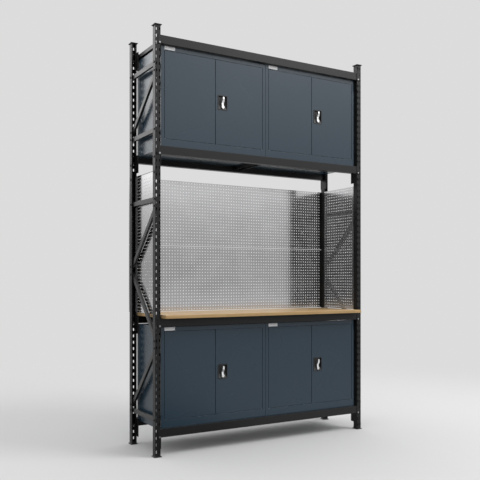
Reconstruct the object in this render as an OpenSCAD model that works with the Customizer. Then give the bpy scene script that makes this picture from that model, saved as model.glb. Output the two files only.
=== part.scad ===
// Free-standing storage bench: bolted rack frame, four double-door cabinets,
// timber worktop and perforated back and side panels.
// Origin on the floor under the centre of the bounding box, X right, Y back, Z up.

/* [Frame] */
// Overall width over the posts
frame_w = 1908; // [1700:2:2200]
// Overall depth over the posts
frame_d = 508; // [480:2:600]
// Length of each lower post
lower_post_h = 2100; // [2100:50:2200]
// Length of each upper post
upper_post_h = 1000; // [1000:50:1200]
// Width of a post, along X
post_w = 42; // [40:1:50]
// Depth of a post, along Y
post_d = 48; // [44:1:56]
// Sheet thickness of the posts
post_t = 2; // [1.5:0.5:3]
// Pitch of the post slots
slot_pitch = 50; // [50:25:75]
// Height of a post slot
slot_h = 22; // [16:1:24]
// Width of a post slot
slot_w = 9; // [8:0.5:10]

/* [Beams] */
// Height of a beam
beam_h = 60; // [55:1:70]
// Thickness of a beam from front to back
beam_d = 45; // [40:1:55]
// Height of the base beam's underside
base_beam_z = 140; // [90:50:190]
// Height of the worktop beam's underside
worktop_beam_z = 940; // [940:50:1090]
// Height of the shelf beam's underside
shelf_beam_z = 2190; // [2190:50:2340]
// Height of the top beam's underside
top_beam_z = 2990; // [2990:50:3040]

/* [Cabinets] */
// Width of one cabinet
cabinet_w = 898; // [820:2:898]
// Height of one cabinet
cabinet_h = 750; // [700:5:752]
// Distance of the cabinet front behind the front of the posts
cabinet_setback = 25; // [22:1:40]
// Height of a door
door_h = 641; // [560:1:641]
// Depth of a door
door_d = 18; // [16:1:19]
// Gap round a door
door_gap = 2.2; // [2.1:0.1:3]
// Radius of the lock's crank pins
crank_r = 10; // [9:0.5:11]

/* [Worktop and panels] */
// Thickness of the worktop
worktop_t = 25; // [20:1:40]
// Overhang of the worktop in front of the posts
worktop_overhang = 68; // [20:1:90]
// Pitch of the panel holes
peg_pitch = 25; // [25:12.5:50]
// Diameter of a panel hole
peg_hole_d = 8; // [5:0.5:10]

/* [Hidden] */
$fn = 48;
play = 0.05;
sheet = 1.2;

// levels and planes of the frame
foot_h = 15;
foot_margin = 8;
cap_h = 10;
bend_r = 0.4;
flange_d = 12;
frame_h = foot_h + lower_post_h + upper_post_h + cap_h;
front_y = worktop_overhang - (worktop_overhang + frame_d + flange_d) / 2;
rear_y = front_y + frame_d;
joint_z = foot_h + lower_post_h;
inner_x = frame_w / 2 - post_w;
post_x = frame_w / 2 - post_w / 2;
post_y = frame_d / 2 - post_d / 2;
mid_y = (front_y + rear_y) / 2;
lip_w = 10;
slot_gauge = 24;
first_slot_z = foot_h + slot_pitch / 2;

// beams and their connectors
beam_t = 2;
beam_lip = 22;
beam_step = 14;
connector_t = 3;
connector_w = 12;
connector_drop = 80;
connector_h = beam_h + connector_drop;
bolt_rise = 5;
beam_levels = [base_beam_z, worktop_beam_z, shelf_beam_z, top_beam_z];
beam_len = 2 * (inner_x - connector_w);
ledge_h = beam_h - beam_step;
bar_w = 60;
bar_h = 28;
bar_t = 2;
bar_lug = [bar_t, 8, 10];
bar_places = [[base_beam_z, [0]], [worktop_beam_z, [-300, 300]],
              [shelf_beam_z, [0]], [top_beam_z, [-868, 0, 868]]];

// braces of a side frame, as [height at the front post, height at the rear post]
brace_w = 32;
brace_d = 18;
brace_t = 1.5;
braces = [[265, 265], [785, 310], [838, 1320], [1815, 1380], [1865, 1865],
          [2370, 2370], [2795, 2425], [2855, 2855]];
brace_end = 12;
level_brace_end = 20;
bolt_d = 8;
bolt_play = 0.5;
bolt_head_w = 13;
bolt_head_h = 5;
nut_h = 6;
splice_h = 200;
splice_t = 3;
splice_bolts = [joint_z - 55, joint_z + 55];

// cabinets
cabinet_d = frame_d - 2 * cabinet_setback;
stile_w = 26;
door_top_rail = 34.5;
opening_w = cabinet_w - 2 * stile_w;
opening_h = door_h + 2 * door_gap;
opening_z = cabinet_h - door_top_rail - door_h - door_gap;
meeting_gap = 2.6;
door_w = (opening_w - 2 * door_gap - meeting_gap) / 2;
door_z = opening_z + door_gap;
stop_y = 20;
stop_w = 10;
hinge_inset = 4.5;
hinge_pin_d = 5;
door_lip = 12;
door_r = 2;
shelf_z = 395;
shelf_front = 34;
cabinet_gap = 2;
cabinet_floors = [base_beam_z + ledge_h, shelf_beam_z + ledge_h];
left_door_x = stile_w + door_gap;
right_door_x = left_door_x + door_w + meeting_gap;

// lock and handle, measured from the cabinet's front face
housing_w = 82;
housing_h = 112;
housing_inset = 61;
housing_t = 2.5;
dish_d = 12;
handle_drop = 33;
hub_d = 23;
hub_y = 8;
spindle_d = 10;
crank_y = 17;
crank_t = 3;
crank_pin_d = 5;
rod_y = 22;
rod_t = 3;
rod_w = 15;
rod_travel = 2 * crank_r * sin(45);
rod_slack = 0.4;
housing_z = door_z + door_h / 2;
spindle_z = housing_z - handle_drop;

// panels
worktop_z = worktop_beam_z + beam_h;
worktop_gap = 6;
panel_h = 526;
panel_gap = 3;
panel_z = worktop_z + worktop_t + panel_gap;
side_panel_h = 2 * panel_h + panel_gap;
side_panel_w = frame_d - 2 * post_d;
panel_screw_d = 6;
side_screw_d = 4;
side_screws = [for (z = [100:286:960]) panel_z + z];
back_screws = [1040, 1540, 1590, 1990];

// ---- helpers ----

// Copies its children to a post's place: side is -1 left or 1 right, end is -1 front or 1 rear.
// The child is drawn for the front left post, with the origin at the middle of its footprint.
module at_post(side, end) {
  translate([side * post_x, mid_y + end * post_y, 0])
    mirror([side > 0 ? 1 : 0, 0, 0])
      mirror([0, end > 0 ? 1 : 0, 0])
        children();
}

module at_all_posts() {
  for (side = [-1, 1], end = [-1, 1]) at_post(side, end) children();
}

// Copies its children to a cabinet's front left bottom corner: row is 0 lower or 1 upper.
module at_cabinet(side, row) {
  x = side < 0 ? -cabinet_w - cabinet_gap / 2 : cabinet_gap / 2;
  translate([x, front_y + cabinet_setback, cabinet_floors[row]]) children();
}

module at_all_cabinets() {
  for (side = [-1, 1], row = [0, 1]) at_cabinet(side, row) children();
}

module box(from, to) {
  translate(from) cube(to - from);
}

// Stands a flat outline up in the XZ plane, with its front at y and its thickness going back.
module upright(y, t) {
  translate([0, y + t, 0]) rotate([90, 0, 0]) linear_extrude(t) children();
}

// Stands a YZ outline up and runs it from x0 to x1.
module along_x(x0, x1) {
  translate([x0, 0, 0]) rotate([90, 0, 90]) linear_extrude(x1 - x0) children();
}

module rounded_2d(w, h, r) {
  square([w, h - 2 * r], center = true);
  square([w - 2 * r, h], center = true);
  for (sx = [-1, 1], sy = [-1, 1]) translate([sx * (w / 2 - r), sy * (h / 2 - r)]) circle(r);
}

module slot_2d(w, h) {
  square([w, h - w], center = true);
  for (s = [-1, 1]) translate([0, s * (h - w) / 2]) circle(d = w);
}

module ring_2d(outer, inner) {
  difference() {
    square(outer, center = true);
    square(inner, center = true);
  }
}

module hexagon(h) {
  rotate(30) cylinder(d = bolt_head_w / cos(30), h = h, $fn = 6);
}

// Hex bolt along +Z: its head ends at z = 0 and its nut starts past the grip.
module hex_bolt(grip) {
  translate([0, 0, -bolt_head_h]) hexagon(bolt_head_h);
  cylinder(d = bolt_d, h = grip);
  translate([0, 0, grip]) hexagon(nut_h);
}

// ---- frame ----

// C section of a post, open towards the other post of its side frame.
module post_outline() {
  difference() {
    rounded_2d(post_w, post_d, post_t + bend_r);
    rounded_2d(post_w - 2 * post_t, post_d - 2 * post_t, bend_r);
    translate([0, post_d / 2]) square([post_w - 2 * lip_w, 4 * post_t], center = true);
  }
}

// One length of post from z0 to z1: slots in the front web, and holes for the brace bolts,
// the splice bolts and the side panel's screws. End is -1 for a front post and 1 for a rear one.
module post(end, z0, z1) {
  column = end < 0 ? 0 : 1;
  color("#2b2c2e") difference() {
    translate([0, 0, z0]) linear_extrude(z1 - z0) post_outline();
    upright(-post_d / 2 - post_t, 3 * post_t)
      for (z = [first_slot_z:slot_pitch:frame_h], s = [-1, 1])
        if (z > z0 && z < z1) translate([s * slot_gauge / 2, z]) slot_2d(slot_w, slot_h);
    for (brace = braces)
      if (brace[column] > z0 && brace[column] < z1)
        translate([0, 0, brace[column]]) rotate([0, 90, 0])
          cylinder(d = bolt_d + bolt_play, h = 2 * post_w, center = true);
    for (z = splice_bolts)
      if (z > z0 && z < z1) translate([-post_w, 0, z]) rotate([0, 90, 0])
        cylinder(d = bolt_d + bolt_play, h = post_w);
    for (z = side_screws)
      if (z < z1) translate([post_w / 2 - lip_w / 2, 0, z]) rotate([-90, 0, 0])
        cylinder(d = side_screw_d, h = post_d);
  }
}

module post_splices() {
  inner = [post_w, post_d] - 2 * [post_t, post_t];
  color("#232426") at_all_posts() difference() {
    translate([0, 0, joint_z - splice_h / 2]) linear_extrude(splice_h) difference() {
      rounded_2d(inner[0], inner[1], bend_r);
      square(inner - 2 * [splice_t, splice_t], center = true);
      translate([0, post_d / 2]) square([inner[0] - 2 * splice_t, post_d], center = true);
    }
    box([5, -post_d / 2, shelf_beam_z - slot_pitch - 20], [post_w / 2, -post_d / 2 + 8, shelf_beam_z + 20]);
    for (z = splice_bolts)
      translate([-post_w, 0, z]) rotate([0, 90, 0]) cylinder(d = bolt_d + bolt_play, h = post_w);
  }
}

module post_feet() {
  spigot_h = 14;
  color("#1d1e20") at_all_posts() difference() {
    union() {
      linear_extrude(foot_h) rounded_2d(post_w + 2 * foot_margin, post_d + 2 * foot_margin, 4);
      translate([0, 0, foot_h]) linear_extrude(spigot_h)
        rounded_2d(post_w - 2 * post_t - 0.4, post_d - 2 * post_t - 0.4, 2);
    }
    translate([0, 0, -1]) cylinder(d = 10, h = foot_h + spigot_h + 2);
  }
}

module post_caps() {
  spigot_h = 24;
  color("#1d1e20") at_all_posts() translate([0, 0, frame_h - cap_h]) difference() {
    union() {
      linear_extrude(cap_h) rounded_2d(post_w + 2 * foot_margin, post_d + 2 * foot_margin, 4);
      translate([0, 0, -spigot_h]) linear_extrude(spigot_h)
        rounded_2d(post_w - 2 * post_t - 0.4, post_d - 2 * post_t - 0.4, 2);
    }
    translate([0, 0, -spigot_h - 1]) linear_extrude(spigot_h + 5)
      rounded_2d(post_w - 2 * post_t - 6, post_d - 2 * post_t - 6, 2);
  }
}

// A channel brace between the front post at z0 and the rear post at z1, web outwards.
module brace(z0, z1) {
  run = frame_d - post_d;
  length = norm([run, z1 - z0]);
  end = z0 == z1 ? level_brace_end : brace_end;
  translate([0, -post_y, z0]) rotate([atan2(z1 - z0, run), 0, 0]) difference() {
    box([-brace_d / 2, -end, -brace_w / 2], [brace_d / 2, length + end, brace_w / 2]);
    box([-brace_d / 2 + brace_t, -end - 1, -brace_w / 2 + brace_t],
        [brace_d, length + end + 1, brace_w / 2 - brace_t]);
    for (y = [0, length])
      translate([-brace_d, y, 0]) rotate([0, 90, 0]) cylinder(d = bolt_d + bolt_play, h = 2 * brace_d);
  }
}

module side_braces() {
  color("#8d8f92") for (side = [-1, 1]) translate([side * post_x, mid_y, 0])
    mirror([side > 0 ? 1 : 0, 0, 0])
      for (heights = braces) brace(heights[0], heights[1]);
}

// Bolts through the posts: one at each brace end, and two into each splice.
module frame_bolts() {
  color("#232426") for (side = [-1, 1], end = [-1, 1]) at_post(side, end)
    translate([-post_w / 2, 0, 0]) rotate([0, 90, 0]) {
      for (heights = braces) translate([-heights[end < 0 ? 0 : 1], 0, 0]) hex_bolt(post_w);
      for (z = splice_bolts) translate([-z, 0, 0]) hex_bolt(post_t + splice_t);
    }
}

// ---- beams ----

// Step section of a beam: a lip at the outside and a ledge that the cabinets stand on.
module beam_outline(t) {
  polygon([[t, t], [beam_d - t, t], [beam_d - t, ledge_h - t], [beam_lip - t, ledge_h - t],
           [beam_lip - t, beam_h - t], [t, beam_h - t]]);
}

// End is -1 for a front beam and 1 for a rear one.
module beam(end, place) {
  color("#333436") translate([0, mid_y, place[0]]) mirror([0, end > 0 ? 1 : 0, 0])
    translate([0, -frame_d / 2, 0]) difference() {
      along_x(-beam_len / 2, beam_len / 2) difference() {
        beam_outline(0);
        beam_outline(beam_t);
      }
      for (x = place[1], s = [-1, 1])
        translate([x + s * (bar_w - bar_t) / 2, beam_d, ledge_h - bar_h / 2])
          cube([bar_lug[0] + 0.6, 2 * beam_lip, bar_lug[2] + 0.6], center = true);
    }
}

// Folded bracket at a beam's end: it stands on the post's inner face, and its flange covers
// the inner column of slots, with two hooks through them and a hole for the lock bolt.
module connector(z) {
  in = post_w / 2;
  front = -post_d / 2;
  hook_w = 6;
  color("#333436") {
    difference() {
      translate([0, 0, z - connector_drop]) linear_extrude(connector_h) {
        translate([in + connector_w - connector_t, front - connector_t])
          square([connector_t, post_d + 3 * connector_t]);
        translate([0, front - connector_t]) square([in + connector_w, connector_t]);
        translate([in, front + post_d + connector_t]) square([connector_w, connector_t]);
      }
      translate([slot_gauge / 2, front - 2 * connector_t, z + bolt_rise]) rotate([-90, 0, 0])
        cylinder(d = bolt_d + bolt_play, h = 3 * connector_t);
    }
    for (s = [-1, 1]) translate([slot_gauge / 2 - hook_w / 2, front, z + s * slot_pitch]) {
      box([0, 0, -8], [hook_w, 6, 8]);
      box([0, post_t + 0.3, -18], [hook_w, 6, -8]);
    }
  }
}

module beam_connectors() {
  at_all_posts() for (z = beam_levels) connector(z);
}

module beam_lock_bolts() {
  color("#c9ccd0") at_all_posts() for (z = beam_levels)
    translate([slot_gauge / 2, -post_d / 2 - connector_t, z + bolt_rise]) rotate([-90, 0, 0])
      hex_bolt(connector_t + post_t);
}

// Inverted channel between the front and rear beams, with lugs in the slots of the beams.
module cross_bar() {
  span = frame_d - 2 * beam_d;
  translate([-bar_w / 2, mid_y - span / 2, -bar_h]) {
    difference() {
      cube([bar_w, span, bar_h]);
      box([bar_t, -1, -1], [bar_w - bar_t, span + 1, bar_h - bar_t]);
    }
    for (x = [0, bar_w - bar_t], y = [-bar_lug[1], span])
      translate([x, y, bar_h / 2 - bar_lug[2] / 2]) cube(bar_lug);
  }
}

module cross_bars() {
  color("#3a3b3d") for (level = bar_places, x = level[1])
    translate([x, 0, level[0] + ledge_h]) cross_bar();
}

// ---- worktop and panels ----

module worktop() {
  edge_r = 3;
  y0 = front_y - worktop_overhang;
  color("#c39a66") along_x(-beam_len / 2, beam_len / 2)
    translate([y0, worktop_z]) {
      translate([edge_r, 0]) square([rear_y - worktop_gap - y0 - edge_r, worktop_t]);
      translate([0, edge_r]) square([worktop_t, worktop_t - 2 * edge_r]);
      for (z = [edge_r, worktop_t - edge_r]) translate([edge_r, z]) circle(edge_r);
    }
}

// Outline of a perforated sheet centred on the origin.
module perforated_2d(w, h, columns, rows) {
  difference() {
    square([w, h], center = true);
    for (i = [0:columns - 1], j = [0:rows - 1])
      translate([(i - (columns - 1) / 2) * peg_pitch, (j - (rows - 1) / 2) * peg_pitch])
        circle(d = peg_hole_d, $fn = 24);
  }
}

// A back panel from height z: a perforated sheet on the rear posts with its edges folded back.
module back_panel(z, screws) {
  columns = floor((2 * inner_x - peg_pitch) / peg_pitch) + 1;
  rows = floor((panel_h - peg_pitch) / peg_pitch) + 1;
  color("#b9bcc0") translate([0, rear_y, z + panel_h / 2]) {
    difference() {
      upright(0, sheet) perforated_2d(frame_w, panel_h, columns, rows);
      for (s = [-1, 1], screw = screws)
        translate([s * (post_x + slot_gauge / 2), -1, screw - z - panel_h / 2]) rotate([-90, 0, 0])
          cylinder(d = panel_screw_d + 0.6, h = 3);
    }
    upright(0, flange_d) ring_2d([frame_w, panel_h], [frame_w, panel_h] - 2 * [sheet, sheet]);
  }
}

// A side panel between the posts: a perforated sheet with its edges folded outwards.
module side_panel(side) {
  columns = floor((side_panel_w - peg_pitch) / peg_pitch);
  rows = floor((side_panel_h - peg_pitch) / peg_pitch) + 1;
  size = [side_panel_w, side_panel_h];
  color("#b9bcc0") translate([side * inner_x, mid_y, panel_z + side_panel_h / 2])
    rotate([90, 0, side > 0 ? 90 : -90]) {
      linear_extrude(sheet) perforated_2d(side_panel_w, side_panel_h, columns, rows);
      difference() {
        linear_extrude(lip_w) ring_2d(size, size - 2 * [sheet, sheet]);
        for (z = side_screws)
          translate([-frame_d, z - panel_z - side_panel_h / 2, lip_w / 2]) rotate([0, 90, 0])
            cylinder(d = side_screw_d + 0.4, h = 2 * frame_d);
      }
    }
}

module panel_screws() {
  color("#9a9da1") at_all_posts() for (z = side_screws)
    translate([post_w / 2 - lip_w / 2, post_d / 2, z]) rotate([90, 0, 0]) {
      translate([0, 0, -sheet - 2.5]) cylinder(d = 7, h = 2.5);
      translate([0, 0, -sheet]) cylinder(d = side_screw_d, h = sheet + 10);
    }
  color("#9a9da1") for (side = [-1, 1]) at_post(side, 1) for (z = back_screws)
    translate([-slot_gauge / 2, -post_d / 2, z]) rotate([-90, 0, 0]) {
      translate([0, 0, -sheet - 3]) cylinder(d = 12, h = 3);
      translate([0, 0, -sheet]) cylinder(d = panel_screw_d, h = sheet + post_t);
      translate([0, 0, post_t]) hexagon(5);
    }
}

// ---- cabinets ----

module at_opening() {
  translate([cabinet_w / 2, opening_z + opening_h / 2]) children();
}

// Folded steel case with a face frame round the doors and a stop behind them.
module shell() {
  opening = [opening_w, opening_h];
  color("#4c5560") difference() {
    union() {
      difference() {
        cube([cabinet_w, cabinet_d, cabinet_h]);
        box([sheet, -1, sheet], [cabinet_w - sheet, cabinet_d - sheet, cabinet_h - sheet]);
      }
      upright(0, sheet) difference() {
        square([cabinet_w, cabinet_h]);
        at_opening() square(opening, center = true);
      }
      upright(0, stop_y) at_opening() ring_2d(opening + 2 * [sheet, sheet], opening);
      upright(stop_y, sheet) at_opening()
        ring_2d(opening + 2 * [sheet, sheet], opening - 2 * [stop_w, stop_w]);
      for (x = [sheet, cabinet_w - sheet - 14], y = [60, cabinet_d - 84])
        translate([x, y, shelf_z - 2]) cube([14, 24, 2]);
    }
    for (x = hinge_places(), z = [opening_z, opening_z + opening_h])
      translate([x, hinge_inset, z]) cylinder(d = hinge_pin_d, h = 4 * sheet, center = true);
  }
}

function hinge_places() = [left_door_x + hinge_inset, right_door_x + door_w - hinge_inset];

// Folded door pan with a stiffener, and a bored block for each hinge pin at its left edge.
module door_pan() {
  block = 13;
  stiffener = [40, 11];
  difference() {
    union() {
      difference() {
        linear_extrude(door_h) {
          translate([door_r, 0]) square([door_w - 2 * door_r, door_d]);
          translate([0, door_r]) square([door_w, door_d - door_r]);
          for (x = [door_r, door_w - door_r]) translate([x, door_r]) circle(door_r);
        }
        box([sheet, sheet, sheet], [door_w - sheet, door_d - sheet, door_h - sheet]);
        box([door_lip, sheet, door_lip], [door_w - door_lip, door_d + 1, door_h - door_lip]);
      }
      for (z = [0, door_h - block]) box([sheet / 2, sheet / 2, z], [block, block, z + block]);
      translate([door_w / 2 - stiffener[0] / 2, sheet, 2 * door_lip])
        linear_extrude(door_h - 4 * door_lip) difference() {
          square(stiffener);
          translate([sheet, -1]) square(stiffener - [2 * sheet, sheet - 1]);
        }
    }
    for (z = [0, door_h])
      translate([hinge_inset, hinge_inset, z])
        cylinder(d = hinge_pin_d + 2 * play, h = 2 * (block - 3), center = true);
  }
}

module left_door() {
  color("#4c5560") translate([left_door_x, 0, door_z]) door_pan();
}

// Copies its children to the axis of the handle's spindle.
module at_spindle() {
  translate([right_door_x + housing_inset, 0, spindle_z]) children();
}

// Plate on the inside of the door that guides a lock rod, at height z above the spindle.
module rod_guide(z) {
  plate_w = rod_w + 8;
  translate([-rod_w / 2 - 1, 0, z]) difference() {
    box([-plate_w / 2, sheet, 0], [plate_w / 2, rod_y + rod_t + 3, 2]);
    box([-rod_w / 2 - 0.2, rod_y - 0.2, -1], [rod_w / 2 + 0.2, rod_y + rod_t + 0.2, 3]);
  }
}

module right_door() {
  color("#4c5560") {
    difference() {
      translate([right_door_x + door_w, 0, door_z]) mirror([1, 0, 0]) door_pan();
      translate([right_door_x + housing_inset, 0, housing_z])
        cube([housing_w - 6, 4 * sheet, housing_h - 6], center = true);
    }
    at_spindle() {
      for (z = [110, 300]) rod_guide(z);
      rotate([0, 180, 0]) for (z = [110, 240]) rod_guide(z);
    }
  }
}

// Dished handle housing in the right door: the dish ends in a ramp below, and a boss behind
// the lever's hub carries the spindle.
module handle_housing() {
  wall = 2;
  floor_y = dish_d - wall;
  dish = [housing_w, housing_h] - 2 * [3.2 + wall, 3.2 + wall];
  color("#17181a") difference() {
    union() {
      translate([right_door_x + housing_inset, 0, housing_z]) {
        difference() {
          union() {
            upright(-housing_t, housing_t) rounded_2d(housing_w, housing_h, 6);
            upright(0, dish_d) rounded_2d(housing_w - 6.4, housing_h - 6.4, 5);
          }
          upright(-housing_t - 1, housing_t + 1 + floor_y) rounded_2d(dish[0], dish[1], 4);
        }
        along_x(-dish[0] / 2 - 1, dish[0] / 2 + 1) polygon([[floor_y + 1, -dish[1] / 2 - 1],
          [-1.6, -dish[1] / 2 - 1], [-1.6, -dish[1] / 2 + 1], [floor_y, -19], [floor_y + 1, -19]]);
      }
      at_spindle() rotate([-90, 0, 0]) cylinder(d = spindle_d + 8, h = crank_y - 0.5);
    }
    at_spindle() rotate([-90, 0, 0]) {
      translate([0, 0, -housing_t - 1]) cylinder(d = hub_d + 1.4, h = housing_t + 1 + floor_y);
      cylinder(d = spindle_d + 2 * play, h = crank_y);
    }
  }
}

// Front outline of the lever's arm: a neck beside the spindle's line and a grip above it.
module lever_outline() {
  hull() {
    circle(8);
    translate([-3, 26]) circle(7.5);
  }
  hull() {
    translate([-3, 26]) circle(7.5);
    translate([0.5, 44]) circle(8.5);
  }
  hull() {
    translate([0.5, 44]) circle(8.5);
    translate([0, 69]) circle(6.5);
  }
}

// Chromed lever with its spindle, and the crank disc whose two pins drive the lock rods.
// The arm lies low in the dish at its neck and stands proud of the housing at its grip.
module handle_lever() {
  plug_d = 14;
  key = [1.8, 9];
  color("#d9dbde") at_spindle() {
    difference() {
      rotate([-90, 0, 0]) union() {
        translate([0, 0, -hub_y]) cylinder(d = hub_d, h = hub_y + dish_d - 2.5);
        translate([0, 0, -hub_y - 1.5]) cylinder(d = hub_d - 4, h = 2);
      }
      upright(-hub_y - 3, 2) difference() {
        circle(d = plug_d);
        circle(d = plug_d - 1);
      }
      upright(-hub_y - 3, 6) square(key, center = true);
    }
    rotate([-90, 0, 0]) {
      cylinder(d = spindle_d, h = crank_y);
      translate([0, 0, crank_y]) cylinder(r = crank_r + 4, h = crank_t);
      for (a = [45, 225])
        rotate(-a) translate([crank_r, 0, crank_y]) cylinder(d = crank_pin_d, h = rod_y + rod_t + 1 - crank_y);
    }
    intersection() {
      upright(-20, 30) lever_outline();
      along_x(-20, 20) polygon([[-1, 9], [-5.5, 9], [-6, 30], [-11, 40], [-16, 50], [-18, 60],
        [-17.5, 80], [-11, 80], [-10.5, 58], [-8.5, 50], [-3.4, 35], [-1, 29]]);
    }
  }
}

// Flat rod from its yoke, round the crank pin left of the spindle, up to height end.
module lock_rod(end) {
  pin = crank_r * sin(45);
  slack = crank_pin_d / 2 + rod_slack;
  upright(rod_y, rod_t) difference() {
    translate([-rod_w - 1, -pin - 8]) square([rod_w, end + pin + 8]);
    translate([-crank_r - slack, -pin - slack]) square([crank_r - pin + 2 * slack, 2 * slack]);
  }
}

module top_rod() {
  color("#9a9da1") at_spindle() lock_rod(opening_z + opening_h - stop_w - 2 - spindle_z);
}

module bottom_rod() {
  color("#9a9da1") at_spindle() rotate([0, 180, 0]) lock_rod(spindle_z - opening_z - stop_w - 2);
}

// Pins of all doors: the lower one of each pair has a collar that carries the door.
module hinge_pins() {
  reach = 8;
  color("#9a9da1") at_all_cabinets() for (x = hinge_places()) translate([x, hinge_inset, 0]) {
    translate([0, 0, opening_z - reach]) cylinder(d = hinge_pin_d, h = 2 * reach + door_gap);
    translate([0, 0, opening_z]) cylinder(d = 9, h = door_gap - 0.2);
    translate([0, 0, door_z + door_h - reach]) cylinder(d = hinge_pin_d, h = 2 * reach + door_gap);
  }
}

module cabinet_shelves() {
  fold = 25;
  depth = cabinet_d - shelf_front - 4;
  color("#59626d") at_all_cabinets() translate([2, shelf_front, shelf_z])
    along_x(0, cabinet_w - 4) {
      square([depth, sheet]);
      for (y = [0, depth - sheet]) translate([y, -fold]) square([sheet, fold + sheet]);
    }
}

at_post(-1, -1) post(-1, foot_h, joint_z);  // post_lower_front_left
at_post(1, -1) post(-1, foot_h, joint_z);  // post_lower_front_right
at_post(-1, 1) post(1, foot_h, joint_z);  // post_lower_rear_left
at_post(1, 1) post(1, foot_h, joint_z);  // post_lower_rear_right
at_post(-1, -1) post(-1, joint_z, frame_h - cap_h);  // post_upper_front_left
at_post(1, -1) post(-1, joint_z, frame_h - cap_h);  // post_upper_front_right
at_post(-1, 1) post(1, joint_z, frame_h - cap_h);  // post_upper_rear_left
at_post(1, 1) post(1, joint_z, frame_h - cap_h);  // post_upper_rear_right
post_splices();
post_feet();
post_caps();
side_braces();
frame_bolts();
beam(-1, bar_places[0]);  // base_beam_front
beam(1, bar_places[0]);  // base_beam_rear
beam(-1, bar_places[1]);  // worktop_beam_front
beam(1, bar_places[1]);  // worktop_beam_rear
beam(-1, bar_places[2]);  // shelf_beam_front
beam(1, bar_places[2]);  // shelf_beam_rear
beam(-1, bar_places[3]);  // top_beam_front
beam(1, bar_places[3]);  // top_beam_rear
beam_connectors();
beam_lock_bolts();
cross_bars();
worktop();
back_panel(panel_z, [back_screws[0], back_screws[1]]);  // back_panel_lower
back_panel(panel_z + panel_h + panel_gap, [back_screws[2], back_screws[3]]);  // back_panel_upper
side_panel(-1);  // side_panel_left
side_panel(1);  // side_panel_right
panel_screws();
hinge_pins();
cabinet_shelves();
at_cabinet(-1, 0) shell();  // shell_lower_left
at_cabinet(1, 0) shell();  // shell_lower_right
at_cabinet(-1, 1) shell();  // shell_upper_left
at_cabinet(1, 1) shell();  // shell_upper_right
at_cabinet(-1, 0) left_door();  // left_door_lower_left
at_cabinet(1, 0) left_door();  // left_door_lower_right
at_cabinet(-1, 1) left_door();  // left_door_upper_left
at_cabinet(1, 1) left_door();  // left_door_upper_right
at_cabinet(-1, 0) right_door();  // right_door_lower_left
at_cabinet(1, 0) right_door();  // right_door_lower_right
at_cabinet(-1, 1) right_door();  // right_door_upper_left
at_cabinet(1, 1) right_door();  // right_door_upper_right
at_cabinet(-1, 0) handle_housing();  // handle_housing_lower_left
at_cabinet(1, 0) handle_housing();  // handle_housing_lower_right
at_cabinet(-1, 1) handle_housing();  // handle_housing_upper_left
at_cabinet(1, 1) handle_housing();  // handle_housing_upper_right
at_cabinet(-1, 0) handle_lever();  // handle_lever_lower_left
at_cabinet(1, 0) handle_lever();  // handle_lever_lower_right
at_cabinet(-1, 1) handle_lever();  // handle_lever_upper_left
at_cabinet(1, 1) handle_lever();  // handle_lever_upper_right
at_cabinet(-1, 0) top_rod();  // top_rod_lower_left
at_cabinet(1, 0) top_rod();  // top_rod_lower_right
at_cabinet(-1, 1) top_rod();  // top_rod_upper_left
at_cabinet(1, 1) top_rod();  // top_rod_upper_right
at_cabinet(-1, 0) bottom_rod();  // bottom_rod_lower_left
at_cabinet(1, 0) bottom_rod();  // bottom_rod_lower_right
at_cabinet(-1, 1) bottom_rod();  // bottom_rod_upper_left
at_cabinet(1, 1) bottom_rod();  // bottom_rod_upper_right
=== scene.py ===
import math

import bpy
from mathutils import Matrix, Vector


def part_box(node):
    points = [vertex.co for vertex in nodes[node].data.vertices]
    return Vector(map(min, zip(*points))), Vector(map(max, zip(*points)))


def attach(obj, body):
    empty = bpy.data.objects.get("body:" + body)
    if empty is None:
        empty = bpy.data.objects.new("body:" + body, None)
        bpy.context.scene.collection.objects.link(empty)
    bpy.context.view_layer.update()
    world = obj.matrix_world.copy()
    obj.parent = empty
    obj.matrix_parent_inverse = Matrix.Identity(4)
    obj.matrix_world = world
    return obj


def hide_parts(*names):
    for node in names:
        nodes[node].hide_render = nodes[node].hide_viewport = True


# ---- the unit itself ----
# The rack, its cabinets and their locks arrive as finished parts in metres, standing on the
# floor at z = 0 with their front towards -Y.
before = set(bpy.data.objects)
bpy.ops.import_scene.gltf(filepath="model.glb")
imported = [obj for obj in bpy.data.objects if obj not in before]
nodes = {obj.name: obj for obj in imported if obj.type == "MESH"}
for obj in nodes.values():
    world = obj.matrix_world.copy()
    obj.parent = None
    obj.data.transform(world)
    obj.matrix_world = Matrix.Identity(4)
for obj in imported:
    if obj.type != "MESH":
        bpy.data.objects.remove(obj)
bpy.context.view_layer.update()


# ---- studio ----
# A seamless pale studio: a wide floor that fades into the backdrop's own tone, soft light all
# round, one large lamp, and a lens that is shifted and not tilted, so uprights stay upright.
BACKDROP = 0.716
WHITE = (1, 1, 1, 1)
EYE = (-2.9084, -4.7766, 1.2818)
HEADING = 0.528927
LENS = 51.29
LENS_RISE = 0.0824
FLOOR_RADIUS = 40
FLOOR_TONE = 0.68
FLOOR_BOUNCE = 0.15
FLOOR_FADE = (2.2, 5.5)
FLOOR_DIMS = (0.65, 0.92)
LIGHT_CLIMB = (-0.1, 0.7)
SIDE_LIGHT = 0.6
TOP_LIGHT = 1.0
ROOM = [(-1.0, 0.10), (-0.1, 0.26), (0.0, 0.38), (0.12, 0.62), (0.24, 1.75), (1.0, 1.5)]
DIM_SIDE = (-0.62, -0.78, 0.0)
DIMMED = 0.15
ROOM_DIMS = (0.50, 0.88)
GLOW_SIDE = (-0.34, 0.82, 0.46)
GLOW = 0.95
GLOW_GROWS = (0.91, 0.98)
KEY_PLACE = (4.9, -4.7, 8.0)
KEY_AIM = (0, 0, 1.6)
KEY_SIZE = 4.0
KEY_POWER = 340

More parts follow.
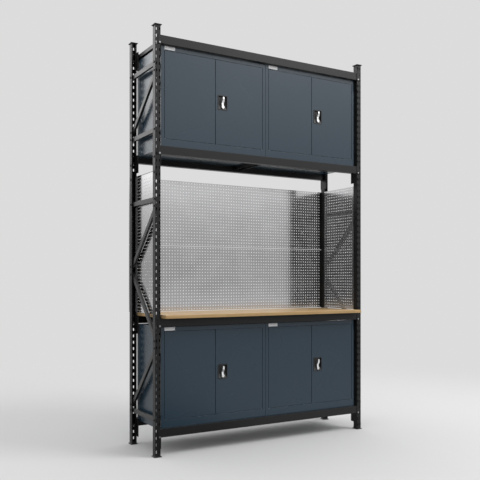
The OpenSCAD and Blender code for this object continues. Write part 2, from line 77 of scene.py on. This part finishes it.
camera_data = bpy.data.cameras.new("camera")
camera_data.lens = LENS
camera_data.shift_y = LENS_RISE
camera = bpy.data.objects.new("camera", camera_data)
camera.location = EYE
camera.rotation_euler = (math.pi / 2, 0, -HEADING)
bpy.context.scene.collection.objects.link(camera)
bpy.context.scene.camera = camera
bpy.context.scene.view_settings.view_transform = "Standard"


def new_material(name):
    """Makes an empty material and returns it with its node tree and output."""
    material = bpy.data.materials.new(name)
    material.use_nodes = True
    tree = material.node_tree
    tree.nodes.clear()
    return material, tree, tree.nodes.new("ShaderNodeOutputMaterial")


def add_node(tree, kind, inputs=None, **settings):
    """Adds a node with plain settings and fixed input values or incoming links."""
    node = tree.nodes.new(kind)
    for name, value in settings.items():
        setattr(node, name, value)
    for name, value in (inputs or {}).items():
        if isinstance(value, bpy.types.NodeSocket):
            tree.links.new(value, node.inputs[name])
        else:
            node.inputs[name].default_value = value
    return node


def maths(tree, operation, *values):
    """One sum on numbers or sockets."""
    return add_node(tree, "ShaderNodeMath", dict(enumerate(values)), operation=operation).outputs[0]


def vector_maths(tree, operation, *values):
    """One sum on vectors, which gives a number for a length or a dot product."""
    node = add_node(tree, "ShaderNodeVectorMath", dict(enumerate(values)), operation=operation)
    return node.outputs["Value" if operation in ("LENGTH", "DOT_PRODUCT") else "Vector"]


def remap(tree, value, before, after, smooth=False):
    """Turns one range of values into another, and holds the ends beyond it."""
    node = add_node(tree, "ShaderNodeMapRange",
                    {"Value": value, "From Min": before[0], "From Max": before[1],
                     "To Min": after[0], "To Max": after[1]},
                    interpolation_type="SMOOTHSTEP" if smooth else "LINEAR")
    return node.outputs["Result"]


def object_place(tree):
    """Where a point lies on the unit, in metres."""
    return add_node(tree, "ShaderNodeTexCoord").outputs["Object"]


def studio_floor():
    """A floor that takes the unit's shadow nearby and turns into the plain backdrop far off.
    It throws little light back up, and polished parts see it dim towards the lens."""
    bpy.ops.object.select_all(action="DESELECT")
    bpy.ops.mesh.primitive_circle_add(vertices=64, radius=FLOOR_RADIUS, fill_type="NGON")
    floor = bpy.context.object
    floor.name = "studio_floor"
    material, tree, output = new_material("studio_floor")
    ray = add_node(tree, "ShaderNodeLightPath").outputs
    place = object_place(tree)
    fade = remap(tree, vector_maths(tree, "LENGTH", place), FLOOR_FADE, (0, 1), smooth=True)
    turn = vector_maths(tree, "DOT_PRODUCT", vector_maths(tree, "NORMALIZE", place), DIM_SIDE)
    dim = remap(tree, turn, FLOOR_DIMS, (1, DIMMED), smooth=True)
    in_metal = remap(tree, ray["Is Glossy Ray"], (0, 1), (1, dim))
    tone = remap(tree, ray["Is Diffuse Ray"], (0, 1), (in_metal, FLOOR_BOUNCE))
    near = add_node(tree, "ShaderNodeBsdfDiffuse",
                    {"Color": maths(tree, "MULTIPLY", tone, FLOOR_TONE)})
    far = add_node(tree, "ShaderNodeEmission",
                   {"Color": WHITE, "Strength": maths(tree, "MULTIPLY", tone, BACKDROP)})
    mix = add_node(tree, "ShaderNodeMixShader", {0: fade, 1: near.outputs[0], 2: far.outputs[0]})
    tree.links.new(mix.outputs[0], output.inputs["Surface"])
    floor.data.materials.append(material)


def studio_world():
    """Soft light all round, brighter overhead. The lens sees the plain backdrop. Polished parts
    see a pale room that brightens upwards, dim behind the lens and bright high at the back."""
    world = bpy.data.worlds.new("studio")
    bpy.context.scene.world = world
    world.use_nodes = True
    tree = world.node_tree
    tree.nodes.clear()
    output = add_node(tree, "ShaderNodeOutputWorld")
    ray = add_node(tree, "ShaderNodeLightPath").outputs
    direction = add_node(tree, "ShaderNodeTexCoord").outputs["Generated"]
    rise = add_node(tree, "ShaderNodeSeparateXYZ", {0: direction}).outputs["Z"]
    light = remap(tree, rise, LIGHT_CLIMB, (SIDE_LIGHT, TOP_LIGHT))
    soft = add_node(tree, "ShaderNodeBackground", {"Color": WHITE, "Strength": light})
    room = add_node(tree, "ShaderNodeValToRGB", {"Fac": remap(tree, rise, (-1, 1), (0, 1))})
    stops = room.color_ramp.elements
    for height, _ in ROOM[1:-1]:
        stops.new((height + 1) / 2)
    for stop, (height, tone) in zip(stops, ROOM):
        stop.position = (height + 1) / 2
        stop.color = (tone, tone, tone, 1)
    dim = remap(tree, vector_maths(tree, "DOT_PRODUCT", direction, DIM_SIDE),
                ROOM_DIMS, (1, DIMMED), smooth=True)
    glow = remap(tree, vector_maths(tree, "DOT_PRODUCT", direction, GLOW_SIDE),
                 GLOW_GROWS, (1, 1 + GLOW), smooth=True)
    polished = add_node(tree, "ShaderNodeBackground",
                        {"Color": room.outputs["Color"],
                         "Strength": maths(tree, "MULTIPLY", dim, glow)})
    plain = add_node(tree, "ShaderNodeBackground", {"Color": (BACKDROP, BACKDROP, BACKDROP, 1)})
    unseen = add_node(tree, "ShaderNodeMixShader",
                      {0: ray["Is Glossy Ray"], 1: soft.outputs[0], 2: polished.outputs[0]})
    seen = maths(tree, "MAXIMUM", ray["Is Camera Ray"], ray["Is Transmission Ray"])
    mix = add_node(tree, "ShaderNodeMixShader",
                   {0: seen, 1: unseen.outputs[0], 2: plain.outputs[0]})
    tree.links.new(mix.outputs[0], output.inputs["Surface"])


def softbox(name, place, aim, size, power):
    """A square studio lamp at a place, turned to face a point."""
    data = bpy.data.lights.new(name, "AREA")
    data.size = size
    data.energy = power
    lamp = bpy.data.objects.new(name, data)
    lamp.location = place
    away = [a - b for a, b in zip(place, aim)]
    level = math.hypot(away[0], away[1])
    lamp.rotation_euler = (math.atan2(level, away[2]), 0, math.atan2(away[0], -away[1]))
    bpy.context.scene.collection.objects.link(lamp)


studio_floor()
studio_world()
softbox("key", KEY_PLACE, KEY_AIM, KEY_SIZE, KEY_POWER)


# ---- shared finishes ----
# Two effects that several finishes use: the fine orange peel of what is sprayed or moulded,
# with a slow drift in its gloss, and rounded folded or cut edges with a painted highlight.
EDGE_SAMPLES = 6
EDGE_BEND = (0.985, 0.80)
# Where the painted highlight lightens rounded edges, and by how much.
HIGHLIGHT_PATCHES = (0.40, 0.62)
LEAST_HIGHLIGHT = 0.25
HIGHLIGHT_SHARE = 1.5
HIGHLIGHT_LIFT = 0.02
WHOLE_DRIFT = (0.2, 0.8)
COAT_DRIFT = 0.03
COAT_SHADES = (0.94, 1.06)
# Inside the posts the coat is duller, and its colour is painted darker as shade.
PAINTED_SHADE_INSIDE = 0.4
DULL_INSIDE = 0.95
PEEL_DEPTH = 0.0004


def group_of(name, inputs, outputs):
    """Makes a node group with named number inputs and typed outputs."""
    group = bpy.data.node_groups.new(name, "ShaderNodeTree")
    for title, value in inputs:
        socket = group.interface.new_socket(title, in_out="INPUT",
                                            socket_type="NodeSocketFloat")
        socket.default_value = value
    for title, kind in outputs:
        group.interface.new_socket(title, in_out="OUTPUT", socket_type=kind)
    return group, group.nodes.new("NodeGroupInput"), group.nodes.new("NodeGroupOutput")


def use_group(tree, group, **values):
    """Places a node group in a material with its own values."""
    node = tree.nodes.new("ShaderNodeGroup")
    node.node_tree = group
    for name, value in values.items():
        node.inputs[name.capitalize()].default_value = value
    return node


def noise(tree, place, scale, detail, **more):
    """Cloudy noise over a place."""
    inputs = {"Vector": place, "Scale": scale, "Detail": detail}
    inputs.update({name.capitalize(): value for name, value in more.items()})
    return add_node(tree, "ShaderNodeTexNoise", inputs).outputs["Fac"]


def orange_peel_group():
    """Gives the height of a sprayed or moulded skin, and a slow drift in its gloss."""
    group, given, result = group_of(
        "orange_peel", [("Grain", 900.0), ("Drift", 3.0)],
        [("Height", "NodeSocketFloat"), ("Sheen drift", "NodeSocketFloat")])
    place = object_place(group)
    peel = noise(group, place, given.outputs["Grain"], 2.0)
    slow = noise(group, place, given.outputs["Drift"], 1.0)
    group.links.new(peel, result.inputs["Height"])
    group.links.new(slow, result.inputs["Sheen drift"])
    return group


def rounded_edge_highlight_group():
    """Gives a normal that rounds a folded or cut edge, and a mask, in patches along that edge,
    of a painted highlight that makes it lighter."""
    group, given, result = group_of(
        "rounded_edge_highlight", [("Radius", 0.001), ("Patchiness", 14.0)],
        [("Normal", "NodeSocketVector"), ("Painted_highlight", "NodeSocketFloat")])
    soft = add_node(group, "ShaderNodeBevel", {"Radius": given.outputs["Radius"]},
                    samples=EDGE_SAMPLES).outputs[0]
    flat = add_node(group, "ShaderNodeNewGeometry").outputs["True Normal"]
    edge = remap(group, vector_maths(group, "DOT_PRODUCT", soft, flat), EDGE_BEND, (0, 1))
    patches = noise(group, object_place(group), given.outputs["Patchiness"], 3.0)
    # Painted highlight: rounded edges, in patches, are marked to be painted lighter.
    painted_highlight = maths(group, "MULTIPLY", edge, remap(group, patches, HIGHLIGHT_PATCHES, (LEAST_HIGHLIGHT, 1)))
    group.links.new(soft, result.inputs["Normal"])
    group.links.new(painted_highlight, result.inputs["Painted_highlight"])
    return group


orange_peel = orange_peel_group()
rounded_edge_highlight = rounded_edge_highlight_group()


def shade_of(colour, share, more=0.0):
    """A darker or lighter shade of a colour."""
    return (*[value * share + more for value in colour], 1)


def mix_colours(tree, factor, first, second, blend="MIX"):
    """Blends two colours by a mask."""
    return add_node(tree, "ShaderNodeMix", {"Factor": factor, 6: first, 7: second},
                    data_type="RGBA", blend_type=blend).outputs[2]


def powder_coat(name, colour, roughness, peel=0.05, shine=0.5, hollow=None, fold=0.001):
    """Satin powder coat: one even colour, a fine peel, gloss that drifts slightly, and edges
    that are rounded and painted a little lighter as a highlight. Hollow is a group whose mask
    makes the coat duller inside and paints it darker there as shade."""
    material, tree, output = new_material(name)
    coat = use_group(tree, orange_peel).outputs
    edge = use_group(tree, rounded_edge_highlight, radius=fold).outputs
    bump = add_node(tree, "ShaderNodeBump",
                    {"Height": coat["Height"], "Strength": peel, "Distance": PEEL_DEPTH,
                     "Normal": edge["Normal"]})
    gloss = remap(tree, coat["Sheen drift"], WHOLE_DRIFT,
                  (roughness - COAT_DRIFT, roughness + COAT_DRIFT), smooth=True)
    tone = mix_colours(tree, coat["Sheen drift"],
                       *[shade_of(colour, share) for share in COAT_SHADES])
    # Painted highlight: rounded edges get a lighter shade of the coat, in patches.
    tone = mix_colours(tree, edge["Painted_highlight"], tone, shade_of(colour, HIGHLIGHT_SHARE, HIGHLIGHT_LIFT))
    # Painted shade: inside the posts the colour is darker, and the gloss duller.
    if hollow:
        inside = use_group(tree, hollow).outputs["Inside"]
        gloss = add_node(tree, "ShaderNodeMix",
                         {"Factor": inside, 2: gloss, 3: DULL_INSIDE}).outputs[0]
        tone = mix_colours(tree, inside, tone, shade_of(colour, PAINTED_SHADE_INSIDE))
    paint = add_node(tree, "ShaderNodeBsdfPrincipled",
                     {"Base Color": tone, "Roughness": gloss, "Specular IOR Level": shine,
                      "Normal": bump.outputs["Normal"]})
    tree.links.new(paint.outputs[0], output.inputs["Surface"])
    return material


# ---- rack frame ----
# Eight lengths of slotted post, spliced in pairs, with channel braces bolted across each side
# frame. All of it is folded steel in near-black satin powder coat, duller inside the posts and
# painted darker there as shade; the braces have a lighter copy of the black as painted light.
FRAME_BLACK = (0.009, 0.0092, 0.0095)
# A lighter copy of the frame's black, as painted light on the braces and cross bars.
PAINTED_LIGHT_BLACK = (0.02, 0.0205, 0.021)
WEB_INSET = 0.0005


def post_hollow_group():
    """Gives a mask of what lies inside the four posts, painted darker there as shade."""
    low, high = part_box("post_lower_front_left")
    rear_low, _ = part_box("post_lower_rear_left")
    middle = [(a + b) / 2 for a, b in zip(low, high)]
    half = [(b - a) / 2 - WEB_INSET for a, b in zip(low, high)]
    half_depth = (rear_low[1] - low[1]) / 2
    group, _, result = group_of("post_hollow", [], [("Inside", "NodeSocketFloat")])
    place = add_node(group, "ShaderNodeSeparateXYZ", {0: object_place(group)}).outputs
    masks = []
    for axis, centre, reach, width in (("X", 0.0, abs(middle[0]), half[0]),
                                       ("Y", middle[1] + half_depth, half_depth, half[1])):
        away = maths(group, "ABSOLUTE", maths(group, "SUBTRACT", place[axis], centre))
        masks.append(maths(group, "COMPARE", away, reach, width))
    group.links.new(maths(group, "MULTIPLY", *masks), result.inputs["Inside"])
    return group


def finish_with(material, *names):
    """Gives finished parts of the unit their material."""
    for name in names:
        for slot in nodes[name].material_slots:
            slot.material = material


def parts_named(*starts):
    """The names of the unit's parts that start in one of these ways."""
    return [name for name in nodes if name.startswith(starts)]


frame_coat = powder_coat("frame_coat", FRAME_BLACK, 0.42, shine=0.3, hollow=post_hollow_group())
# Painted light: the braces get a lighter copy of the frame's black coat.
painted_light_coat = powder_coat("painted_light_coat", PAINTED_LIGHT_BLACK, 0.40)
finish_with(frame_coat, *parts_named("post_lower", "post_upper", "post_splices"), "frame_bolts")
finish_with(painted_light_coat, "side_braces")


# ---- beams ----
# Step beams, each folded from one steel sheet with a ledge for what stands on it, and the
# cross bars that drop in between a front and a rear beam. Both are powder coated; the cross
# bars take the braces' lighter black, as painted light.
BEAM_BLACK = (0.012, 0.012, 0.012)
beam_coat = powder_coat("beam_coat", BEAM_BLACK, 0.42, shine=0.3)
finish_with(beam_coat, *[name for name in nodes if "_beam_" in name])
# Painted light: the cross bars take the braces' lighter black.
finish_with(painted_light_coat, "cross_bars")


# ---- feet and caps ----
# Black moulded plates close the ends of the posts. Each stands 8 mm proud of the post all round
# and sits on a collar of the post's own outline; a foot has a hole for a floor bolt.
END_PLATE = 0.005
END_MARGIN = 0.008
END_CORNER = 0.004
END_EDGE = 0.0007
NEAR_PLATE = 0.0008
FLOOR_BOLT_HOLE = 0.010
DRILL_LENGTH = 0.1
MOULDED_BLACK = (0.012, 0.012, 0.013, 1)
CORNERS = ["front_left", "front_right", "rear_left", "rear_right"]


def moulded_black():
    """Satin black plastic with the fine grain of its mould."""
    material, tree, output = new_material("moulded_black")
    coat = use_group(tree, orange_peel, grain=400.0)
    bump = add_node(tree, "ShaderNodeBump",
                    {"Height": coat.outputs["Height"], "Strength": 0.15, "Distance": 0.0005})
    plastic = add_node(tree, "ShaderNodeBsdfPrincipled",
                       {"Base Color": MOULDED_BLACK, "Roughness": 0.5,
                        "Normal": bump.outputs["Normal"]})
    tree.links.new(plastic.outputs[0], output.inputs["Surface"])
    return material


def take(piece):
    """Selects one piece alone."""
    bpy.ops.object.select_all(action="DESELECT")
    bpy.context.view_layer.objects.active = piece
    piece.select_set(True)


def block(name, middle, size):
    """A plain block to shape further, with its place in its mesh."""
    bpy.ops.object.select_all(action="DESELECT")
    bpy.ops.mesh.primitive_cube_add(size=1, location=middle)
    piece = bpy.context.object
    piece.name = name
    piece.scale = size
    bpy.ops.object.transform_apply(location=True, rotation=True, scale=True)
    return piece


def edit_only(piece, kind, wanted):
    """Goes into edit mode with just the wanted faces or edges selected, by their corners."""
    bpy.ops.object.mode_set(mode="EDIT")
    bpy.ops.mesh.select_mode(type=kind)
    bpy.ops.mesh.select_all(action="DESELECT")
    bpy.ops.object.mode_set(mode="OBJECT")
    points = piece.data.vertices
    for item in piece.data.polygons if kind == "FACE" else piece.data.edges:
        item.select = wanted([points[corner].co for corner in item.vertices])
    bpy.ops.object.mode_set(mode="EDIT")


def round_edges(piece, width):
    """Rounds every sharp edge of a piece."""
    edges = piece.modifiers.new("rounded", "BEVEL")
    edges.width = width
    edges.segments = 2
    edges.limit_method = "ANGLE"
    bpy.ops.object.modifier_apply(modifier=edges.name)


def copied(piece, name, shift):
    """A copy of a piece with a mesh of its own, moved by a distance."""
    take(piece)
    bpy.ops.object.duplicate()
    copy = bpy.context.object
    copy.name = name
    copy.location = shift
    bpy.ops.object.transform_apply(location=True, rotation=True, scale=True)
    return copy


def end_plate(name, post, side):
    """A plate on one end of a post: side is -1 for its foot and 1 for its cap."""
    low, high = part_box(post)
    middle = [(a + b) / 2 for a, b in zip(low, high)]
    size = [b - a + 2 * END_MARGIN for a, b in zip(low[:2], high[:2])]
    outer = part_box("post_caps")[1][2] if side > 0 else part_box("post_feet")[0][2]
    inner = outer - side * END_PLATE
    plate = block(name, (middle[0], middle[1], (outer + inner) / 2), (*size, END_PLATE))
    edit_only(plate, "FACE",
              lambda corners: all((c[2] - inner) * side < END_PLATE / 2 for c in corners))
    bpy.ops.mesh.inset(thickness=END_MARGIN)
    collar = (high[2] if side > 0 else low[2]) - inner
    bpy.ops.mesh.extrude_region_move(TRANSFORM_OT_translate={"value": (0, 0, collar)})
    bpy.ops.object.mode_set(mode="OBJECT")
    edit_only(plate, "EDGE",
              lambda ends: abs(ends[0][2] - ends[1][2]) > END_PLATE / 2
              and abs(ends[0][0] - middle[0]) > size[0] / 2 - END_MARGIN / 2)
    bpy.ops.mesh.bevel(offset=END_CORNER, segments=4)
    bpy.ops.object.mode_set(mode="OBJECT")
    if side < 0:
        bpy.ops.mesh.primitive_cylinder_add(
            vertices=32, radius=FLOOR_BOLT_HOLE / 2, depth=DRILL_LENGTH,
            location=(middle[0], middle[1], outer))
        drill = bpy.context.object
        take(plate)
        hole = plate.modifiers.new("hole", "BOOLEAN")
        hole.object = drill
        hole.operation = "DIFFERENCE"
        bpy.ops.object.modifier_apply(modifier=hole.name)
        bpy.data.objects.remove(drill)
    round_edges(plate, END_EDGE)
    plate.data.materials.append(black_plastic)
    plate.data.materials.append(frame_coat)
    for face in plate.data.polygons:
        if (inner - face.center[2]) * side > NEAR_PLATE:
            face.material_index = 1
    return plate


black_plastic = moulded_black()
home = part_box(f"post_lower_{CORNERS[0]}")[0]
foot = end_plate(f"foot_{CORNERS[0]}", f"post_lower_{CORNERS[0]}", -1)
cap = end_plate(f"cap_{CORNERS[0]}", f"post_upper_{CORNERS[0]}", 1)
feet, caps = [foot], [cap]
for corner in CORNERS[1:]:
    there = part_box(f"post_lower_{corner}")[0]
    shift = (there[0] - home[0], there[1] - home[1], 0)
    feet.append(copied(foot, f"foot_{corner}", shift))
    caps.append(copied(cap, f"cap_{corner}", shift))
for foot, cap in zip(feet, caps):
    for plate, stands_for in ((foot, "post_feet"), (cap, "post_caps")):
        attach(plate, "frame")
        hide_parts(stands_for)


# ---- beam brackets ----
# At each beam's end a flat 3 mm plate stands on the post's inner face, hangs below the beam and
# reaches past the post. A short stretch of beam is welded to it, and its flange on the post's
# face takes the lock bolt. All of it has the beam's coat.
BRACKET_T = 0.003
BRACKET_DROP = 0.080
BRACKET_REACH = 0.030
BRACKET_EDGE = 0.0005
FLANGE_DROP = 0.008
BEAM_LIP = 0.022
BEAM_STEP = 0.014


def between(name, xs, ys, zs):
    """A block between two values on each axis, given in either order."""
    spans = (xs, ys, zs)
    return block(name, [sum(span) / 2 for span in spans],
                 [abs(span[1] - span[0]) for span in spans])


def joined(pieces):
    """One piece made of several."""
    take(pieces[0])
    for piece in pieces:
        piece.select_set(True)
    bpy.ops.object.join()
    return bpy.context.object


def bracket(row, hand):
    """The bracket at the left (-1) or right (1) end of the base level's front or rear beam."""
    low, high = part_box(f"base_beam_{row}")
    post_low, post_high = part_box(f"post_lower_{row}_{'left' if hand < 0 else 'right'}")
    middle = (post_low[0] + post_high[0]) / 2
    inner = post_high[0] if hand < 0 else post_low[0]
    weld = inner - hand * BRACKET_T
    end = hand * high[0]
    if row == "front":
        out, outer_y, inner_y, beam_y = -1, post_low[1], post_high[1], low[1]
    else:
        out, outer_y, inner_y, beam_y = 1, post_high[1], post_low[1], high[1]
    return joined([
        between("bracket_plate", (inner, weld),
                (outer_y + out * BRACKET_T, inner_y - out * BRACKET_REACH),
                (low[2] - BRACKET_DROP, high[2])),
        between("bracket_flange", (middle, inner), (outer_y, outer_y + out * BRACKET_T),
                (low[2] - FLANGE_DROP, high[2])),
        between("beam_stub", (weld, end), (low[1], high[1]), (low[2], high[2] - BEAM_STEP)),
        between("beam_stub_lip", (weld, end), (beam_y, beam_y - out * BEAM_LIP),
                (high[2] - BEAM_STEP, high[2]))])


all_brackets = []
for row in ("front", "rear"):
    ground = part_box(f"base_beam_{row}")[0][2]
    for hand in (-1, 1):
        first = bracket(row, hand)
        all_brackets.append(first)
        for level in ("worktop", "shelf", "top"):
            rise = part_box(f"{level}_beam_{row}")[0][2] - ground
            all_brackets.append(copied(first, "beam_bracket", (0, 0, rise)))
brackets = joined(all_brackets)
brackets.name = "beam_brackets"
round_edges(brackets, BRACKET_EDGE)
brackets.data.materials.append(beam_coat)
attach(brackets, "frame")
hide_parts("beam_connectors")


# ---- fasteners ----
# Lock bolts of the beams, panel screws, hinge pins and lock rods: turned or drawn steel with a
# dull bright zinc plate.
ZINC = (0.30, 0.30, 0.31)
MID_DRIFT = (0.3, 0.7)
PLATE_DRIFT = 0.06


def plated_steel(name, colour, roughness):
    """Plated metal whose gloss changes slightly over small patches."""
    material, tree, output = new_material(name)
    coat = use_group(tree, orange_peel, grain=260.0, drift=40.0)
    gloss = remap(tree, coat.outputs["Sheen drift"], MID_DRIFT,
                  (roughness - PLATE_DRIFT, roughness + PLATE_DRIFT))
    metal = add_node(tree, "ShaderNodeBsdfPrincipled",
                     {"Base Color": (*colour, 1), "Metallic": 1.0, "Roughness": gloss})
    tree.links.new(metal.outputs[0], output.inputs["Surface"])
    return material


zinc = plated_steel("zinc_plate", ZINC, 0.45)
finish_with(zinc, "beam_lock_bolts", "panel_screws", "hinge_pins",
            *parts_named("top_rod", "bottom_rod"))


# ---- worktop ----
# Solid timber top glued up from long staves, end to end in rows, sanded and oiled, with its
# edges softened.
STAVE_W = 0.043
STAVE_L = 0.62
GLUE_LINE = 0.012
GLUE_SHADE = 0.72
STAVE_SHIFT = (7, 7, 7)
STAVE_SHADES = (0.93, 1.06)
GRAIN_RUN = (1.2, 22, 22)
GRAIN_RANGE = (0.3, 0.72)
GRAIN_DARK = (0.52, 0.325, 0.135, 1)
GRAIN_LIGHT = (0.65, 0.435, 0.20, 1)
PORE_RUN = (14, 420, 420)
PORE_RANGE = (0.35, 0.5)
PORE_SHADE = 0.88
OILED = (0.52, 0.44)
TIMBER_EDGE = 0.0015


def stave_timber():
    """Light timber: each stave has its own shade and stretch of grain, with fine pores and a
    thin dark glue line round it."""
    material, tree, output = new_material("stave_timber")
    place = object_place(tree)
    split = add_node(tree, "ShaderNodeSeparateXYZ", {0: place}).outputs
    row = maths(tree, "DIVIDE", split["Y"], STAVE_W)
    row_number = maths(tree, "FLOOR", row)
    slide = add_node(tree, "ShaderNodeTexWhiteNoise", {"W": row_number},
                     noise_dimensions="1D").outputs["Value"]
    run = maths(tree, "ADD", maths(tree, "DIVIDE", split["X"], STAVE_L), slide)
    stave = add_node(tree, "ShaderNodeCombineXYZ",
                     {"X": maths(tree, "FLOOR", run), "Y": row_number}).outputs[0]
    own = add_node(tree, "ShaderNodeTexWhiteNoise", {"Vector": stave},
                   noise_dimensions="3D").outputs
    shift = vector_maths(tree, "MULTIPLY", own["Color"], STAVE_SHIFT)
    moved = vector_maths(tree, "ADD", place, shift)
    along = add_node(tree, "ShaderNodeMapping", {"Vector": moved, "Scale": GRAIN_RUN}).outputs[0]
    grain = noise(tree, along, 3.0, 6.0, roughness=0.6)
    pores = add_node(tree, "ShaderNodeMapping", {"Vector": moved, "Scale": PORE_RUN}).outputs[0]
    pore = noise(tree, pores, 2.0, 2.0)
    colour = add_node(tree, "ShaderNodeValToRGB", {"Fac": grain})
    for stop, position, tone in zip(colour.color_ramp.elements, GRAIN_RANGE,
                                    (GRAIN_DARK, GRAIN_LIGHT)):
        stop.position = position
        stop.color = tone
    seams = []
    for way, pitch in ((row, STAVE_W), (run, STAVE_L)):
        from_middle = maths(tree, "ABSOLUTE",
                            maths(tree, "SUBTRACT", maths(tree, "FRACT", way), 0.5))
        seams.append(maths(tree, "GREATER_THAN", from_middle, 0.5 - GLUE_LINE * STAVE_W / pitch))
    shades = [remap(tree, pore, PORE_RANGE, (PORE_SHADE, 1)),
              remap(tree, own["Value"], (0, 1), STAVE_SHADES),
              remap(tree, maths(tree, "MAXIMUM", *seams), (0, 1), (1, GLUE_SHADE))]
    shade = maths(tree, "MULTIPLY", maths(tree, "MULTIPLY", *shades[:2]), shades[2])
    tone = mix_colours(tree, 1.0, colour.outputs[0], shade, blend="MULTIPLY")
    edge = use_group(tree, rounded_edge_highlight, radius=TIMBER_EDGE)
    bump = add_node(tree, "ShaderNodeBump", {"Height": pore, "Strength": 0.12, "Distance": 0.0003,
                                             "Normal": edge.outputs["Normal"]})
    wood = add_node(tree, "ShaderNodeBsdfPrincipled",
                    {"Base Color": tone, "Roughness": remap(tree, grain, (0, 1), OILED),
                     "Normal": bump.outputs["Normal"]})
    tree.links.new(wood.outputs[0], output.inputs["Surface"])
    return material


finish_with(stave_timber(), "worktop")


# ---- perforated panels ----
# Bare bright sheet steel, punched all over, folded round its edges and screwed to the posts.
# Rolling leaves its gloss slightly uneven.
SHEET_STEEL = (0.62, 0.62, 0.63, 1)
SHEET_GLOSS = (0.13, 0.19)


def bare_sheet():
    """Rolled steel sheet without paint."""
    material, tree, output = new_material("bare_sheet")
    gloss = remap(tree, noise(tree, object_place(tree), 6.0, 2.0), MID_DRIFT, SHEET_GLOSS)
    steel = add_node(tree, "ShaderNodeBsdfPrincipled",
                     {"Base Color": SHEET_STEEL, "Metallic": 1.0, "Roughness": gloss})
    tree.links.new(steel.outputs[0], output.inputs["Surface"])
    return material


finish_with(bare_sheet(), *parts_named("back_panel", "side_panel"))


# ---- cabinets ----
# Folded steel cases with two doors each and a shelf, powder coated in slate inside and out.
# Their folds are rounder than those of the rack.
SLATE = (0.019, 0.042, 0.066)
slate_coat = powder_coat("slate_coat", SLATE, 0.27, fold=0.002)
finish_with(slate_coat, *parts_named("shell", "left_door", "right_door"), "cabinet_shelves")


# ---- handles ----
# A black moulded dish let into each right door, with a cast and chromed lever on the spindle
# that works the lock.
CHROME = (0.85, 0.86, 0.87)
chrome = plated_steel("lever_chrome", CHROME, 0.14)
finish_with(black_plastic, *parts_named("handle_housing"))
finish_with(chrome, *parts_named("handle_lever"))


# ---- name plate places ----
# A small blank plate of white lacquered sheet, stuck to the left of each cabinet's top rail.
# It bears no name or number.
PLATE_SIZE = (0.084, 0.0010, 0.025)
PLATE_INSET = 0.028
PLATE_DROP = 0.015
PLATE_EDGE = 0.0003
LACQUER = (0.93, 0.93, 0.95, 1)
CABINETS = ["lower_left", "lower_right", "upper_left", "upper_right"]


def white_lacquer():
    """Smooth white lacquer with a trace of peel."""
    material, tree, output = new_material("blank_plate")
    coat = use_group(tree, orange_peel, grain=500.0)
    bump = add_node(tree, "ShaderNodeBump",
                    {"Height": coat.outputs["Height"], "Strength": 0.05, "Distance": 0.0002})
    lacquer = add_node(tree, "ShaderNodeBsdfPrincipled",
                       {"Base Color": LACQUER, "Roughness": 0.35,
                        "Normal": bump.outputs["Normal"]})
    tree.links.new(lacquer.outputs[0], output.inputs["Surface"])
    return material


def plate_place(cabinet):
    """The middle of a cabinet's name plate, flat on its top rail."""
    low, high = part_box(f"shell_{cabinet}")
    return (low[0] + PLATE_INSET + PLATE_SIZE[0] / 2, low[1] - PLATE_SIZE[1] / 2,
            high[2] - PLATE_DROP)


home = plate_place(CABINETS[0])
first = block(f"blank_plate_{CABINETS[0]}", home, PLATE_SIZE)
round_edges(first, PLATE_EDGE)
first.data.materials.append(white_lacquer())
plates = [first]
for cabinet in CABINETS[1:]:
    shift = [there - here for there, here in zip(plate_place(cabinet), home)]
    plates.append(copied(first, f"blank_plate_{cabinet}", shift))
for plate in plates:
    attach(plate, "frame")
